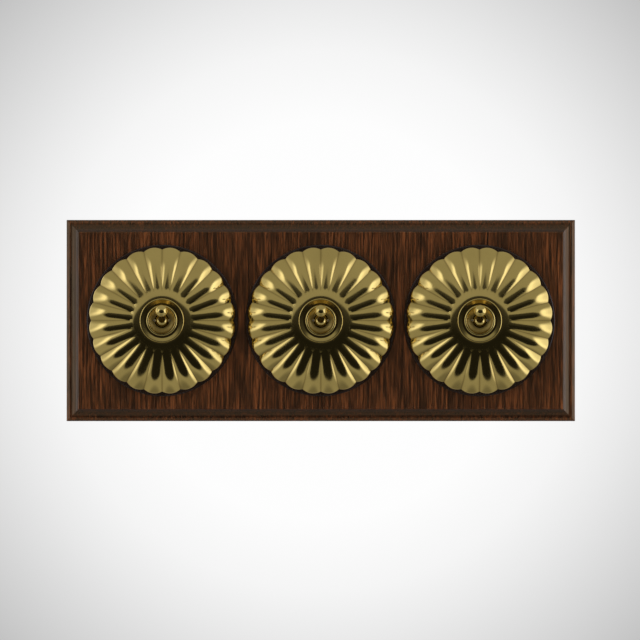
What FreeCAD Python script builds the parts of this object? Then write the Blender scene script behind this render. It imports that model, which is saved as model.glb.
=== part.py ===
import FreeCAD, Part
import Sketcher
import math
import os

# Three-gang dolly switch: a wooden plinth carries three round switches with fluted brass covers.
# X runs to the right, Z up, the front faces -Y, and the wall is the plane Y = 0.
# Each gang is modelled on its own axis with Z pointing out from the wall, then stood up and placed.

SIZES = {
    # Plinth: a moulded board, hollow at the back
    "plinth_width": 230.0,
    "plinth_height": 91.0,
    "plinth_depth": 20.0,
    "edge_height": 14.8,
    "edge_ledge": 1.4,
    "cove_width": 3.9,
    "cove_rise": 3.6,
    "cove_radius": 4.6,
    "face_arris": 0.5,
    "recess_width": 168.0,
    "recess_height": 65.0,
    "recess_depth": 9.0,
    "recess_corner": 6.0,
    "wall_hole_spacing": 194.0,
    "wall_hole_diameter": 5.0,
    "wall_head_diameter": 9.6,
    "gang_pitch": 71.5,
    # Base: the black moulding under each cover
    "base_diameter": 68.4,
    "base_floor": 3.0,
    "base_edge": 0.5,
    "rim_height": 4.0,
    "rim_wall": 2.2,
    "rim_clearance": 0.3,
    "cable_hole": 10.0,
    "cable_drop": 23.5,
    "boss_diameter": 8.4,
    # Cover: convex flutes outside, smooth inside
    "dome_diameter": 66.8,
    "dome_height": 17.05,
    "dome_wall": 0.9,
    "land_diameter": 28.4,
    "land_angle": 9.0,
    "shoulder_diameter": 48.0,
    "shoulder_angle": 15.0,
    "edge_width": 0.8,
    "edge_angle": 46.0,
    "crown_rise": 0.95,
    "crown_top": 22.4,
    "crown_edge_angle": 12.0,
    "crown_foot": 32.0,
    "crown_foot_angle": 28.0,
    "flute_count": 24.0,
    "flute_depth": 1.1,
    "flute_start": 22.0,
    # Nose bush and the ring that screws onto it
    "nose_diameter": 14.0,
    "nose_rise": 3.5,
    "nose_flange": 18.0,
    "flange_thickness": 1.5,
    "nose_spigot": 13.0,
    "nose_bore": 9.4,
    "mouth_diameter": 11.4,
    "mouth_dish": 1.1,
    "dish_radius": 3.4,
    "throat_diameter": 6.6,
    "ring_diameter": 20.6,
    "ring_height": 2.3,
    "ring_floor": 1.2,
    "ring_lip": 0.3,
    "ring_dish": 7.0,
    "ring_wall": 0.35,
    "thread_clearance": 0.05,
    "hole_clearance": 0.2,
    # Dolly and what it carries
    "dolly_angle": 36.0,
    "dolly_reach": 14.0,
    "pivot_rise": 1.1,
    "pivot_ball": 5.9,
    "tip_ball": 5.4,
    "neck_diameter": 3.5,
    "neck_waist": 24.0,
    "tail_diameter": 4.0,
    "tail_length": 8.0,
    "pin_diameter": 1.5,
    "pin_length": 13.6,
    "running_clearance": 0.05,
    "press_clearance": 0.02,
    "plunger_diameter": 2.6,
    "plunger_reach": 9.2,
    "plunger_stem": 4.6,
    "plunger_room": 0.15,
    "tail_bore_end": 2.2,
    "spring_wire": 0.36,
    "spring_diameter": 2.4,
    "spring_turns": 4.0,
    "spring_room": 0.03,
    # Mechanism
    "block_width": 22.0,
    "block_length": 35.0,
    "block_height": 10.5,
    "block_corner": 3.0,
    "cavity_width": 12.0,
    "cavity_length": 24.0,
    "cavity_floor": 1.5,
    "cavity_corner": 1.0,
    "bridge_thickness": 1.5,
    "strip_width": 6.0,
    "strip_thickness": 1.2,
    "slot_clearance": 0.1,
    "contact_offset": 8.5,
    "rivet_diameter": 3.6,
    "rivet_edge": 0.4,
    "contact_room": 0.1,
    "terminal_offset": 16.0,
    "fulcrum_height": 4.0,
    "fulcrum_diameter": 2.0,
    "fulcrum_foot": 4.0,
    "rocker_angle": 18.0,
    "rocker_width": 6.0,
    "rocker_length": 18.0,
    "rocker_arm": 1.2,
    "rocker_rise": 0.2,
    "cradle_width": 6.4,
    "horn_width": 0.8,
    # Fixings
    "base_screw_angle": 50.0,
    "base_screw_gap": 0.3,
    "base_screw_shank": 3.4,
    "base_screw_head": 6.6,
    "base_screw_length": 12.0,
    "bridge_screw_offset": 14.75,
    "bridge_screw_shank": 2.4,
    "bridge_screw_head": 4.4,
    "bridge_screw_bite": 2.0,
    "terminal_screw_shank": 3.0,
    "terminal_screw_head": 5.8,
    "terminal_screw_bite": 2.2,
    "screw_head_height": 1.6,
    "screw_slot_width": 0.8,
    "screw_slot_depth": 0.8,
    "screw_clearance": 0.1,
    "screw_tip_room": 0.4,
}

GANGS = {"left": -1, "centre": 0, "right": 1}
OVERCUT = 1.0
SKIRT_STEPS = 8
ARC_STEPS = 3


class Size:
    """A length or an angle together with the sheet expression that gives it."""

    def __init__(self, text, value):
        self.text = text
        self.value = float(value)

    def joined(self, sign, other, value):
        return Size(f"({self.text} {sign} {as_size(other).text})", value)

    def __add__(self, other):
        return self.joined("+", other, self.value + as_size(other).value)

    def __sub__(self, other):
        return self.joined("-", other, self.value - as_size(other).value)

    def __mul__(self, other):
        return self.joined("*", other, self.value * as_size(other).value)

    def __truediv__(self, other):
        return self.joined("/", other, self.value / as_size(other).value)

    def __neg__(self):
        return Size(f"(0 - {self.text})", -self.value)

    def __radd__(self, other):
        return as_size(other) + self

    def __rsub__(self, other):
        return as_size(other) - self

    def __rmul__(self, other):
        return as_size(other) * self


def as_size(item):
    """Let a plain number stand where a size is wanted."""
    if isinstance(item, Size):
        return item
    return Size(f"({float(item)})", item)


def root(size):
    return Size(f"sqrt({size.text})", math.sqrt(size.value))


def sine(angle):
    return Size(f"sin({angle.text} * 1deg)", math.sin(math.radians(angle.value)))


def cosine(angle):
    return Size(f"cos({angle.text} * 1deg)", math.cos(math.radians(angle.value)))


def other_leg(hypotenuse, leg):
    """The other leg of a right triangle."""
    return root(hypotenuse * hypotenuse - leg * leg)


class Sheet:
    """The driving sizes, each read by its own name."""

    def __init__(self, doc):
        self.table = doc.addObject("Spreadsheet::Sheet", "Sizes")
        for row, (alias, value) in enumerate(SIZES.items(), start=1):
            self.table.set(f"A{row}", alias)
            self.table.set(f"B{row}", str(value))
            self.table.setAlias(f"B{row}", alias)
        doc.recompute()

    def __getattr__(self, alias):
        return Size(f"Sizes.{alias}", SIZES[alias])


def bind(item, path, size):
    """Bind one property to the sheet."""
    item.setExpression(path, as_size(size).text)


class Piece:
    """A body with short calls for the features that this part uses."""

    def __init__(self, doc, label):
        self.doc = doc
        self.body = doc.addObject("PartDesign::Body", label)
        self.body.AllowCompound = True
        self.label = label
        self.count = 0

    def name(self, kind):
        self.count += 1
        return f"{self.label}_{kind}_{self.count}"

    def sketch(self, role, lift=0):
        """Start a sketch on one of the body's own planes, lifted along its normal."""
        plane = next(item for item in self.body.Origin.OriginFeatures if item.Role == role)
        sketch = self.body.newObject("Sketcher::SketchObject", self.name("sketch"))
        sketch.AttachmentSupport = [(plane, "")]
        sketch.MapMode = "FlatFace"
        bind(sketch, "AttachmentOffset.Base.z", lift)
        return sketch

    def feature(self, kind, sketch, length=None, reverse=False):
        """Add a feature made from a sketch: a pad or pocket of a length, or a full turn."""
        feature = self.body.newObject(f"PartDesign::{kind}", self.name(kind.lower()))
        feature.Profile = sketch
        if length is None:
            feature.ReferenceAxis = (sketch, ["V_Axis"])
            feature.Angle = 360
        else:
            bind(feature, "Length", length)
        feature.Reversed = reverse
        self.body.Tip = feature
        return feature

    def pad(self, sketch, length, reverse=False):
        return self.feature("Pad", sketch, length, reverse)

    def pocket(self, sketch, length, reverse=False):
        return self.feature("Pocket", sketch, length, reverse)

    def turn(self, sketch):
        return self.feature("Revolution", sketch)


def outline(sketch, corners):
    """Draw a closed outline whose corners are bound to the sheet.

    A corner is (across, up) or (across, up, radius). A radius makes the edge that leaves the corner
    an arc: it turns left if the radius is positive and right if it is negative.
    """
    first = sketch.GeometryCount
    ends = []
    for number, corner in enumerate(corners):
        following = corners[(number + 1) % len(corners)]
        start = corner_point(corner)
        stop = corner_point(following)
        if len(corner) == 2:
            sketch.addGeometry(Part.LineSegment(start, stop), False)
            ends.append((1, 2))
        else:
            bend = as_size(corner[2])
            sketch.addGeometry(short_arc(start, stop, bend.value), False)
            ends.append((1, 2) if bend.value > 0 else (2, 1))
    for number, corner in enumerate(corners):
        following = (number + 1) % len(corners)
        edge = first + number
        sketch.addConstraint(
            Sketcher.Constraint("Coincident", edge, ends[number][1], first + following, ends[following][0]))
        hold(sketch, ("DistanceX", -1, 1, edge, ends[number][0]), corner[0])
        hold(sketch, ("DistanceY", -1, 1, edge, ends[number][0]), corner[1])
        if len(corner) == 3:
            bend = as_size(corner[2])
            hold(sketch, ("Radius", edge), bend if bend.value > 0 else -bend)


def corner_point(corner):
    return FreeCAD.Vector(as_size(corner[0]).value, as_size(corner[1]).value, 0)


def short_arc(start, stop, bend):
    """The arc under half a turn between two points; it turns left where bend is positive."""
    half = (stop - start) * 0.5
    left = FreeCAD.Vector(-half.y, half.x, 0).normalize()
    rise = math.sqrt(max(bend * bend - half.Length ** 2, 0.0))
    centre = start + half + left * math.copysign(rise, bend)
    circle = Part.Circle(centre, FreeCAD.Vector(0, 0, 1), abs(bend))
    ordered = (start, stop) if bend > 0 else (stop, start)
    angles = [math.atan2(point.y - centre.y, point.x - centre.x) for point in ordered]
    return Part.ArcOfCircle(circle, angles[0], angles[1])


def circle(sketch, across, up, diameter):
    """Draw a circle whose place and diameter are bound to the sheet."""
    centre = corner_point((across, up))
    size = as_size(diameter)
    edge = sketch.addGeometry(Part.Circle(centre, FreeCAD.Vector(0, 0, 1), size.value / 2), False)
    hold(sketch, ("DistanceX", -1, 1, edge, 3), across)
    hold(sketch, ("DistanceY", -1, 1, edge, 3), up)
    hold(sketch, ("Diameter", edge), size)


def hold(sketch, constraint, size):
    """Add a constraint and bind its value to the sheet."""
    number = sketch.addConstraint(Sketcher.Constraint(*constraint, as_size(size).value))
    bind(sketch, f"Constraints[{number}]", size)


def rectangle(left, right, low, high):
    return [(left, low), (right, low), (right, high), (left, high)]


def rounded_rectangle(width, height, corner):
    """A rectangle about the origin with round corners."""
    side = width / 2
    top = height / 2
    return [
        (corner - side, -top),
        (side - corner, -top, corner),
        (side, corner - top),
        (side, top - corner, corner),
        (side - corner, top),
        (corner - side, top, corner),
        (-side, top - corner),
        (-side, corner - top, corner),
    ]


def mirrored(path):
    """The same open path on the other side of the axis, walked the other way."""
    turned = []
    for number in range(len(path) - 1, -1, -1):
        bend = path[number - 1][2:] if number > 0 else ()
        turned.append((-as_size(path[number][0]), path[number][1]) + tuple(bend))
    return turned


class Levels:
    """Heights above the wall that several pieces share."""

    def __init__(self, s):
        self.face = s.plinth_depth
        self.seat = self.face + s.base_floor
        self.land = self.seat + s.dome_height
        self.crown = self.land + s.crown_rise
        self.pivot = self.crown + s.pivot_rise
        self.lip = self.crown + s.nose_rise
        self.strip = self.seat + s.cavity_floor
        self.strip_top = self.strip + s.strip_thickness
        self.block_top = self.seat + s.block_height
        self.bridge_top = self.block_top + s.bridge_thickness
        self.fulcrum = self.strip + s.fulcrum_height


def edge_path(s, half):
    """The moulded edge of the plinth, from the ledge up to the face, on the right-hand side."""
    foot = half - s.edge_ledge
    arris = foot - s.cove_width
    return [
        (half, s.edge_height),
        (foot, s.edge_height, -s.cove_radius),
        (arris, s.edge_height + s.cove_rise),
        (arris, s.plinth_depth - s.face_arris, s.face_arris),
        (arris - s.face_arris, s.plinth_depth),
    ]


def make_plinth(doc, s, z):
    piece = Piece(doc, "plinth")
    side = s.plinth_width / 2
    top = s.plinth_height / 2
    ends = edge_path(s, side)
    section = piece.sketch("XZ_Plane", -top)
    outline(section, [(-side, 0), (side, 0)] + ends + mirrored(ends))
    piece.pad(section, s.plinth_height)
    # The long edges have the same moulding, cut right along, so the corners come out mitred.
    cut = edge_path(s, top)[1:]
    cut += [(cut[-1][0], z.face + OVERCUT), (top + OVERCUT, z.face + OVERCUT), (top + OVERCUT, s.edge_height)]
    long_edges = piece.sketch("YZ_Plane", side + OVERCUT)
    outline(long_edges, cut)
    outline(long_edges, mirrored(cut[:-3]) + [
        (-top - OVERCUT, s.edge_height),
        (-top - OVERCUT, z.face + OVERCUT),
        (-cut[-4][0], z.face + OVERCUT),
    ])
    piece.pocket(long_edges, s.plinth_width + 2 * OVERCUT)
    recess = piece.sketch("XY_Plane")
    outline(recess, rounded_rectangle(s.recess_width, s.recess_height, s.recess_corner))
    piece.pocket(recess, s.recess_depth, reverse=True)
    cables = piece.sketch("XY_Plane")
    pilots = piece.sketch("XY_Plane", z.face)
    for step in GANGS.values():
        circle(cables, step * s.gang_pitch, -s.cable_drop, s.cable_hole)
        for across, up in base_screw_places(s):
            circle(pilots, step * s.gang_pitch + across, up, s.base_screw_shank + s.screw_clearance)
    piece.pocket(cables, z.face, reverse=True)
    piece.pocket(pilots, s.base_screw_length - s.base_floor + s.screw_tip_room)
    doc.recompute()
    holes = piece.sketch("XY_Plane", z.face)
    for side_sign in (-1, 1):
        circle(holes, side_sign * s.wall_hole_spacing / 2, 0, s.wall_hole_diameter)
    doc.recompute()
    drilled = piece.body.newObject("PartDesign::Hole", "plinth_wall_holes")
    drilled.Profile = holes
    drilled.DepthType = "ThroughAll"
    bind(drilled, "Diameter", s.wall_hole_diameter)
    drilled.HoleCutType = "Countersink"
    drilled.HoleCutCustomValues = True
    bind(drilled, "HoleCutDiameter", s.wall_head_diameter)
    drilled.HoleCutCountersinkAngle = 90
    piece.body.Tip = drilled
    return piece.body


def terminal_places(s):
    """Where the three terminal screws stand: two fixed contacts on the right, the common on the left."""
    return [
        (s.terminal_offset, s.contact_offset),
        (s.terminal_offset, -s.contact_offset),
        (-s.terminal_offset, 0),
    ]


def rim_radius(s):
    """The outside of the base's locating rim, which fits in the cover's skirt."""
    return s.dome_diameter / 2 - s.flute_depth - s.dome_wall - s.rim_clearance


def base_screw_places(s):
    """The two wood screws stand just inside the rim, at opposite ends of one diagonal."""
    reach = rim_radius(s) - s.rim_wall - s.base_screw_head / 2 - s.base_screw_gap
    across = reach * cosine(s.base_screw_angle)
    up = reach * sine(s.base_screw_angle)
    return [(sign * across, sign * up) for sign in (-1, 1)]


def bridge_screw_places(s):
    return [(0, sign * s.bridge_screw_offset) for sign in (-1, 1)]


def make_base(doc, s, z):
    piece = Piece(doc, "base")
    edge = s.base_diameter / 2
    rim = rim_radius(s)
    section = piece.sketch("XZ_Plane")
    outline(section, [
        (0, z.face),
        (edge, z.face),
        (edge, z.seat - s.base_edge, s.base_edge),
        (edge - s.base_edge, z.seat),
        (rim, z.seat),
        (rim, z.seat + s.rim_height),
        (rim - s.rim_wall, z.seat + s.rim_height),
        (rim - s.rim_wall, z.seat),
        (0, z.seat),
    ])
    piece.turn(section)
    bosses = piece.sketch("XY_Plane", z.seat)
    taps = piece.sketch("XY_Plane", z.strip)
    for across, up in terminal_places(s):
        circle(bosses, across, up, s.boss_diameter)
        circle(taps, across, up, s.terminal_screw_shank + s.screw_clearance)
    piece.pad(bosses, s.cavity_floor)
    piece.pocket(taps, s.terminal_screw_bite + s.screw_tip_room)
    through = piece.sketch("XY_Plane", z.seat)
    circle(through, 0, -s.cable_drop, s.cable_hole)
    for across, up in base_screw_places(s):
        circle(through, across, up, s.base_screw_shank + s.screw_clearance)
    piece.pocket(through, s.base_floor)
    blind = piece.sketch("XY_Plane", z.seat)
    for across, up in bridge_screw_places(s):
        circle(blind, across, up, s.bridge_screw_shank + s.screw_clearance)
    piece.pocket(blind, s.bridge_screw_bite + s.screw_tip_room)
    return piece.body


class CoverArc:
    """One of the tangent arcs of the cover's crest line, given by its two ends and the slopes there."""

    def __init__(self, start, stop, top):
        self.start_angle = start[1]
        self.stop_angle = stop[1]
        self.bend = (stop[0] - start[0]) / (sine(stop[1]) - sine(start[1]))
        self.across = start[0] - self.bend * sine(start[1])
        self.height = top - self.bend * cosine(start[1])
        self.foot = self.height + self.bend * cosine(stop[1])

    def level(self, angle):
        """Height of the arc where it slopes by an angle, in degrees."""
        return self.height.value + self.bend.value * math.cos(math.radians(angle))


class CoverLine:
    """The crest line of the cover: three arcs from the land to the edge, then the upright skirt."""

    def __init__(self, s, z):
        self.skirt = s.dome_diameter / 2
        self.seat = z.seat
        self.land = z.land
        self.flute_depth = s.flute_depth
        self.flute_start = s.flute_start / 2
        ends = [
            (s.land_diameter / 2, s.land_angle),
            (s.shoulder_diameter / 2, s.shoulder_angle),
            (self.skirt - s.edge_width, s.edge_angle),
            (self.skirt, as_size(90)),
        ]
        self.arcs = []
        top = z.land
        for start, stop in zip(ends, ends[1:]):
            self.arcs.append(CoverArc(start, stop, top))
            top = self.arcs[-1].foot

    def heights(self):
        """Heights of the sections: up the skirt, then along the arcs to the land."""
        seat = self.seat.value
        skirt_top = self.arcs[-1].foot.value
        heights = [seat + (skirt_top - seat) * step / SKIRT_STEPS for step in range(SKIRT_STEPS)]
        for arc in reversed(self.arcs):
            low = arc.stop_angle.value
            high = arc.start_angle.value
            heights += [arc.level(low + (high - low) * step / ARC_STEPS) for step in range(ARC_STEPS)]
        return heights + [self.land.value]

    def radius(self, height, inset):
        """Radius at a height, for a skin that lies inset from the crest line."""
        for arc in self.arcs:
            bend = arc.bend.value - inset
            above = height - arc.height.value
            if above >= bend * math.cos(math.radians(arc.stop_angle.value)):
                return arc.across.value + math.sqrt(max(bend ** 2 - above ** 2, 0.0))
        return self.skirt.value - inset

    def depth(self, radius):
        """Depth of the valleys at a radius; they fade out towards the middle."""
        skirt = self.skirt.value
        faded = min((skirt - radius) / (skirt - self.flute_start.value), 1.0)
        return self.flute_depth.value * (1 - faded ** 2)

    def valley(self, height):
        """Radius of the valleys at a height, by closing in on the depth that belongs there."""
        radius = self.radius(height, 0.0)
        for _ in range(30):
            radius = self.radius(height, self.depth(radius))
        return radius


def on_circle(radius, angle, height):
    return FreeCAD.Vector(radius * math.cos(angle), radius * math.sin(angle), height)


def lobed_section(count, crest, valley, height):
    """One section of the cover: equal convex lobes that meet in sharp valleys."""
    lobe = 2 * math.pi / count
    lobes = []
    for number in range(count):
        start = on_circle(valley, number * lobe, height)
        stop = on_circle(valley, (number + 1) * lobe, height)
        peak = on_circle(crest, (number + 0.5) * lobe, height)
        curve = Part.BezierCurve()
        curve.setPoles([start, peak * 2 - (start + stop) * 0.5, stop])
        lobes.append(curve.toShape())
    return Part.Wire(lobes)


def make_cover_outside(doc, s, line):
    """A solid lofted through the lobed sections."""
    loft = doc.addObject("Part::Loft", "cover_outside")
    count = round(s.flute_count.value)
    sections = []
    for number, height in enumerate(line.heights()):
        section = doc.addObject("Part::Feature", f"cover_section_{number}")
        section.Shape = lobed_section(count, line.radius(height, 0.0), line.valley(height), height)
        sections.append(section)
    loft.Sections = sections
    loft.Solid = True
    loft.Ruled = False
    loft.MaxDegree = 3
    return loft


def make_cover_inside(doc, s, z, line):
    """The smooth hollow of the cover, one wall in from the valleys of the flutes."""
    piece = Piece(doc, "cover_inside")
    inset = s.flute_depth + s.dome_wall
    corners = [
        (0, z.seat - OVERCUT),
        (line.skirt - inset, z.seat - OVERCUT),
    ]
    for arc in reversed(line.arcs):
        bend = arc.bend - inset
        low = arc.stop_angle
        corners.append((arc.across + bend * sine(low), arc.height + bend * cosine(low), bend))
    crown = line.arcs[0]
    bend = crown.bend - inset
    corners += [
        (crown.across + bend * sine(crown.start_angle), crown.height + bend * cosine(crown.start_angle)),
        (s.crown_top / 2, z.crown - s.dome_wall),
        (0, z.crown - s.dome_wall),
    ]
    section = piece.sketch("XZ_Plane")
    outline(section, corners)
    piece.turn(section)
    return piece.body


def make_cover_crown(doc, s, z):
    """The round boss in the middle of the cover, in which the flutes end."""
    piece = Piece(doc, "cover_crown")
    top = s.crown_top / 2
    foot = s.crown_foot / 2
    bend = (foot - top) / (sine(s.crown_foot_angle) - sine(s.crown_edge_angle))
    low = z.crown - bend * (cosine(s.crown_edge_angle) - cosine(s.crown_foot_angle))
    section = piece.sketch("XZ_Plane")
    outline(section, [
        (0, low),
        (foot, low, bend),
        (top, z.crown),
        (0, z.crown),
    ])
    piece.turn(section)
    return piece.body


def make_dome_cover(doc, s, z):
    line = CoverLine(s, z)
    body = doc.addObject("Part::Fuse", "cover_body")
    body.Base = make_cover_outside(doc, s, line)
    body.Tool = make_cover_crown(doc, s, z)
    shell = doc.addObject("Part::Cut", "cover_shell")
    shell.Base = body
    shell.Tool = make_cover_inside(doc, s, z, line)
    hole = doc.addObject("Part::Cylinder", "cover_hole")
    bind(hole, "Radius", s.nose_diameter / 2 + s.hole_clearance)
    bind(hole, "Height", z.crown + OVERCUT)
    cover = doc.addObject("Part::Cut", "dome_cover")
    cover.Base = shell
    cover.Tool = hole
    return cover


def make_nose_bush(doc, s, z):
    piece = Piece(doc, "nose_bush")
    wall = s.nose_diameter / 2
    bore = s.nose_bore / 2
    throat = s.throat_diameter / 2
    mouth = s.mouth_diameter / 2
    lip = (wall - mouth) / 2
    collar = z.bridge_top + s.flange_thickness
    throat_low = z.pivot - s.pivot_ball / 2
    section = piece.sketch("XZ_Plane")
    outline(section, [
        (bore, z.block_top),
        (s.nose_spigot / 2, z.block_top),
        (s.nose_spigot / 2, z.bridge_top),
        (s.nose_flange / 2, z.bridge_top),
        (s.nose_flange / 2, collar),
        (wall, collar),
        (wall, z.lip - lip, lip),
        (wall - lip, z.lip, lip),
        (mouth, z.lip - lip, -s.dish_radius),
        (throat, z.lip - lip - s.mouth_dish),
        (throat, throat_low + (bore - throat)),
        (bore, throat_low),
    ])
    piece.turn(section)
    pin_hole = piece.sketch("YZ_Plane", wall + OVERCUT)
    circle(pin_hole, 0, z.pivot, s.pin_diameter + 2 * s.press_clearance)
    piece.pocket(pin_hole, s.nose_diameter + 2 * OVERCUT)
    return piece.body


def make_cover_ring(doc, s, z):
    piece = Piece(doc, "cover_ring")
    inner = s.nose_diameter / 2 + s.thread_clearance
    outer = s.ring_diameter / 2
    top = z.crown + s.ring_height
    floor = z.crown + s.ring_floor
    section = piece.sketch("XZ_Plane")
    outline(section, [
        (inner, z.crown),
        (outer, z.crown),
        (outer, top - s.ring_lip, s.ring_lip),
        (outer - s.ring_lip, top, -s.ring_dish),
        (inner + s.ring_wall, floor),
        (inner, floor),
    ])
    piece.turn(section)
    return piece.body


def make_dolly(doc, s):
    """The dolly on its own axis, with the pivot at the origin."""
    piece = Piece(doc, "dolly")
    ball = s.pivot_ball / 2
    tip = s.tip_ball / 2
    neck = s.neck_diameter / 2
    tail = s.tail_diameter / 2
    bore = s.plunger_diameter / 2 + s.running_clearance
    section = piece.sketch("XZ_Plane")
    outline(section, [
        (bore, -s.tail_length),
        (tail, -s.tail_length),
        (tail, -other_leg(ball, tail), ball),
        (neck, other_leg(ball, neck), -s.neck_waist),
        (neck, s.dolly_reach - other_leg(tip, neck), tip),
        (tip, s.dolly_reach, tip),
        (0, s.dolly_reach + tip),
        (0, -s.tail_bore_end),
        (bore, -s.tail_bore_end),
    ])
    piece.turn(section)
    pin_hole = piece.sketch("YZ_Plane", ball + OVERCUT)
    circle(pin_hole, 0, 0, s.pin_diameter + 2 * s.running_clearance)
    piece.pocket(pin_hole, s.pivot_ball + 2 * OVERCUT)
    return piece.body


def make_pivot_pin(doc, s):
    piece = Piece(doc, "pivot_pin")
    section = piece.sketch("YZ_Plane", -s.pin_length / 2)
    circle(section, 0, 0, s.pin_diameter)
    piece.pad(section, s.pin_length)
    return piece.body


def make_plunger(doc, s):
    piece = Piece(doc, "plunger")
    radius = s.plunger_diameter / 2
    section = piece.sketch("XZ_Plane")
    outline(section, [
        (0, -s.plunger_reach - radius, radius),
        (radius, -s.plunger_reach),
        (radius, s.plunger_stem - s.plunger_reach),
        (0, s.plunger_stem - s.plunger_reach),
    ])
    piece.turn(section)
    return piece.body


def make_plunger_spring(doc, s):
    """A coil between the end of the bore and the plunger, on the dolly's own axis."""
    piece = Piece(doc, "plunger_spring")
    low = s.plunger_stem - s.plunger_reach + s.spring_room
    section = piece.sketch("XZ_Plane")
    circle(section, s.spring_diameter / 2 - s.spring_wire / 2, low + s.spring_wire / 2, s.spring_wire)
    coil = piece.body.newObject("PartDesign::AdditiveHelix", "plunger_spring_coil")
    coil.Profile = section
    coil.ReferenceAxis = (section, ["V_Axis"])
    coil.Mode = "height-turns-angle"
    bind(coil, "Height", -s.tail_bore_end - low - s.spring_wire)
    bind(coil, "Turns", s.spring_turns)
    piece.body.Tip = coil
    return piece.body


def make_mechanism_body(doc, s, z):
    piece = Piece(doc, "mechanism_body")
    block = piece.sketch("XY_Plane", z.seat)
    outline(block, rounded_rectangle(s.block_width, s.block_length, s.block_corner))
    piece.pad(block, s.block_height)
    cavity = piece.sketch("XY_Plane", z.block_top)
    outline(cavity, rounded_rectangle(s.cavity_width, s.cavity_length, s.cavity_corner))
    piece.pocket(cavity, s.block_height - s.cavity_floor)
    slots = piece.sketch("XY_Plane", z.strip)
    half = s.strip_width / 2 + s.slot_clearance
    side = s.block_width / 2 + OVERCUT
    for sign in (-1, 1):
        middle = sign * s.contact_offset
        outline(slots, rectangle(as_size(0), side, middle - half, middle + half))
    outline(slots, rectangle(-side, as_size(0), -half, half))
    piece.pocket(slots, s.strip_thickness + s.slot_clearance, reverse=True)
    screws = piece.sketch("XY_Plane", z.block_top)
    for across, up in bridge_screw_places(s):
        circle(screws, across, up, s.bridge_screw_shank + s.screw_clearance)
    piece.pocket(screws, s.block_height)
    return piece.body


def make_bridge_plate(doc, s, z):
    piece = Piece(doc, "bridge_plate")
    plate = piece.sketch("XY_Plane", z.block_top)
    outline(plate, rounded_rectangle(s.block_width, s.block_length, s.block_corner))
    circle(plate, 0, 0, s.nose_spigot + 2 * s.press_clearance)
    for across, up in bridge_screw_places(s):
        circle(plate, across, up, s.bridge_screw_shank + s.screw_clearance)
    piece.pad(plate, s.bridge_thickness)
    return piece.body


def strip_outline(s, sign):
    """A contact strip with a round terminal end, running to one side."""
    half = s.strip_width / 2
    start = -sign * s.rivet_diameter
    end = sign * s.terminal_offset
    bend = sign * half
    return [
        (start, -half),
        (end, -half, bend),
        (end + bend, as_size(0), bend),
        (end, half),
        (start, half),
    ]


def make_fixed_contact(doc, s, z):
    """A fixed contact with its rivet on the gang's axis; its placement moves it up or down."""
    piece = Piece(doc, "fixed_contact")
    strip = piece.sketch("XY_Plane", z.strip)
    outline(strip, strip_outline(s, 1))
    circle(strip, s.terminal_offset, 0, s.terminal_screw_shank + s.screw_clearance)
    piece.pad(strip, s.strip_thickness)
    tilt = s.rocker_angle / 2
    reach = s.contact_offset + s.rivet_diameter / 2
    top = z.fulcrum + (s.rocker_rise - reach * sine(tilt)) / cosine(tilt) - s.contact_room
    rivet = piece.sketch("XZ_Plane")
    outline(rivet, [
        (0, z.strip),
        (s.rivet_diameter / 2, z.strip),
        (s.rivet_diameter / 2, top - s.rivet_edge, s.rivet_edge),
        (s.rivet_diameter / 2 - s.rivet_edge, top),
        (0, top),
    ])
    piece.turn(rivet)
    return piece.body


def make_common_contact(doc, s, z):
    piece = Piece(doc, "common_contact")
    strip = piece.sketch("XY_Plane", z.strip)
    outline(strip, strip_outline(s, -1))
    circle(strip, -s.terminal_offset, 0, s.terminal_screw_shank + s.screw_clearance)
    piece.pad(strip, s.strip_thickness)
    ridge = s.fulcrum_diameter / 2
    foot = s.fulcrum_foot / 2
    post = piece.sketch("YZ_Plane", -s.rocker_width / 2)
    outline(post, [
        (-foot, z.strip),
        (foot, z.strip),
        (foot, z.strip_top),
        (ridge, z.fulcrum, ridge),
        (0, z.fulcrum + ridge, ridge),
        (-ridge, z.fulcrum),
        (-foot, z.strip_top),
    ])
    piece.pad(post, s.rocker_width)
    return piece.body


def make_rocker(doc, s, z):
    """The rocker about its fulcrum; its cradle follows the plunger's path with a little room."""
    piece = Piece(doc, "rocker")
    lever = s.plunger_reach
    throw = s.dolly_angle / 2
    tilt = s.rocker_angle / 2
    depth = z.pivot - z.fulcrum
    # The tip's centre as the rocker sees it, in mid swing and at the end of the swing
    middle = depth - lever
    side = lever * sine(throw)
    fall = depth - lever * cosine(throw)
    across = side * cosine(tilt) - fall * sine(tilt)
    rise = side * sine(tilt) + fall * cosine(tilt) - middle
    path = (across * across + rise * rise) / (2 * rise)
    cradle = path + s.plunger_diameter / 2 + s.plunger_room
    lip = s.cradle_width / 2
    lip_height = middle + path - other_leg(cradle, lip)
    notch = s.fulcrum_diameter / 2 + s.running_clearance
    notch_edge = other_leg(notch, s.rocker_rise)
    arm = s.rocker_length / 2
    arm_top = s.rocker_rise + s.rocker_arm
    horn = lip + s.horn_width
    section = piece.sketch("YZ_Plane", -s.rocker_width / 2)
    outline(section, [
        (-arm, s.rocker_rise),
        (-notch_edge, s.rocker_rise, -notch),
        (notch_edge, s.rocker_rise),
        (arm, s.rocker_rise),
        (arm, arm_top),
        (horn + s.horn_width, arm_top),
        (horn, lip_height),
        (lip, lip_height, -cradle),
        (-lip, lip_height),
        (-horn, lip_height),
        (-horn - s.horn_width, arm_top),
        (-arm, arm_top),
    ])
    piece.pad(section, s.rocker_width)
    return piece.body


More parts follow.
